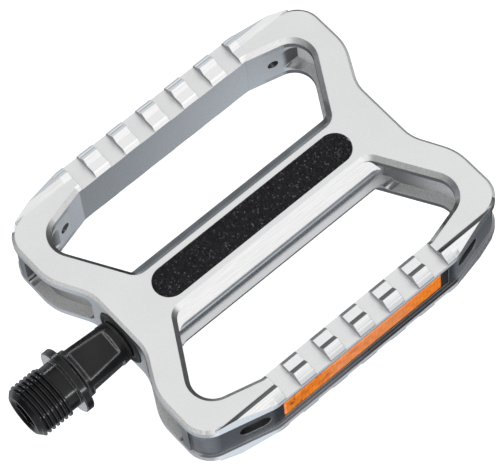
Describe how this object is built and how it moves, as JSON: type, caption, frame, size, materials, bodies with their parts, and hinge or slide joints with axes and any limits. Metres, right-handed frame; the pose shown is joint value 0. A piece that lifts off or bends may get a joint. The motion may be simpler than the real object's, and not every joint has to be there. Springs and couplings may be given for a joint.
{
  "type": "flat bicycle pedal",
  "caption": "Bow-tie platform pedal: windowed frame with toothed rails, grip tape and side reflectors, turning on a threaded steel spindle with a plain bush and ball bearings.",
  "frame": {"origin": "on the spindle axis, in the plane of the collar face that seats against the crank arm", "axes": "+Y runs outboard along the spindle axis, +Z is normal to the upper platform face, +X points to the front rail"},
  "size_m": [0.083, 0.121, 0.0194],
  "materials": {
    "blasted_alloy": "bead-blasted clear-anodised aluminium with bright-cut facets",
    "grip_tape": "black silicon-carbide grit on adhesive film",
    "reflector_backing": "black moulded plastic",
    "amber_lens": "amber acrylic with prismatic back",
    "black_steel": "black oxide chromoly steel, satin",
    "seal_rubber": "black nitrile rubber",
    "bush_bronze": "bronze plain bearing",
    "turned_steel": "turned zinc-plated steel",
    "bearing_steel": "ground bearing steel",
    "ball_steel": "polished bearing balls",
    "cage_plastic": "glass-filled nylon",
    "cap_alloy": "turned clear-anodised aluminium"
  },
  "bodies": {
    "spindle": {"spindle": "black_steel", "inner_bearing_inner_ring": "bearing_steel", "outer_bearing_inner_ring": "bearing_steel", "bearing_spacer": "turned_steel", "lock_washer": "turned_steel", "locknut": "turned_steel"},
    "platform": {"platform_body": "blasted_alloy", "grip_tape_top": "grip_tape", "grip_tape_bottom": "grip_tape", "reflector_carrier_front": "reflector_backing", "reflector_carrier_rear": "reflector_backing", "reflector_lens_front": "amber_lens", "reflector_lens_rear": "amber_lens", "inboard_lip_seal": "seal_rubber", "inboard_bush": "bush_bronze", "inner_bearing_outer_ring": "bearing_steel", "outer_bearing_outer_ring": "bearing_steel", "inner_bearing_seals": "seal_rubber", "outer_bearing_seals": "seal_rubber", "end_cap": "cap_alloy", "end_cap_oring": "seal_rubber"},
    "inner_ball_set": {"inner_bearing_balls": "ball_steel", "inner_bearing_cage": "cage_plastic"},
    "outer_ball_set": {"outer_bearing_balls": "ball_steel", "outer_bearing_cage": "cage_plastic"}
  },
  "joints": [
    {"name": "platform_spin", "type": "hinge", "parent": "spindle", "child": "platform", "pos_m": [0, 0.0603, 0], "axis": [0, 1, 0], "continuous": true},
    {"name": "inner_ball_orbit", "type": "hinge", "parent": "spindle", "child": "inner_ball_set", "pos_m": [0, 0.0843, 0], "axis": [0, 1, 0], "continuous": true},
    {"name": "outer_ball_orbit", "type": "hinge", "parent": "spindle", "child": "outer_ball_set", "pos_m": [0, 0.0923, 0], "axis": [0, 1, 0], "continuous": true}
  ],
  "couplings": [
    {"joint": "inner_ball_orbit", "follows": "platform_spin", "ratio": 0.5682},
    {"joint": "outer_ball_orbit", "follows": "platform_spin", "ratio": 0.5682}
  ]
}
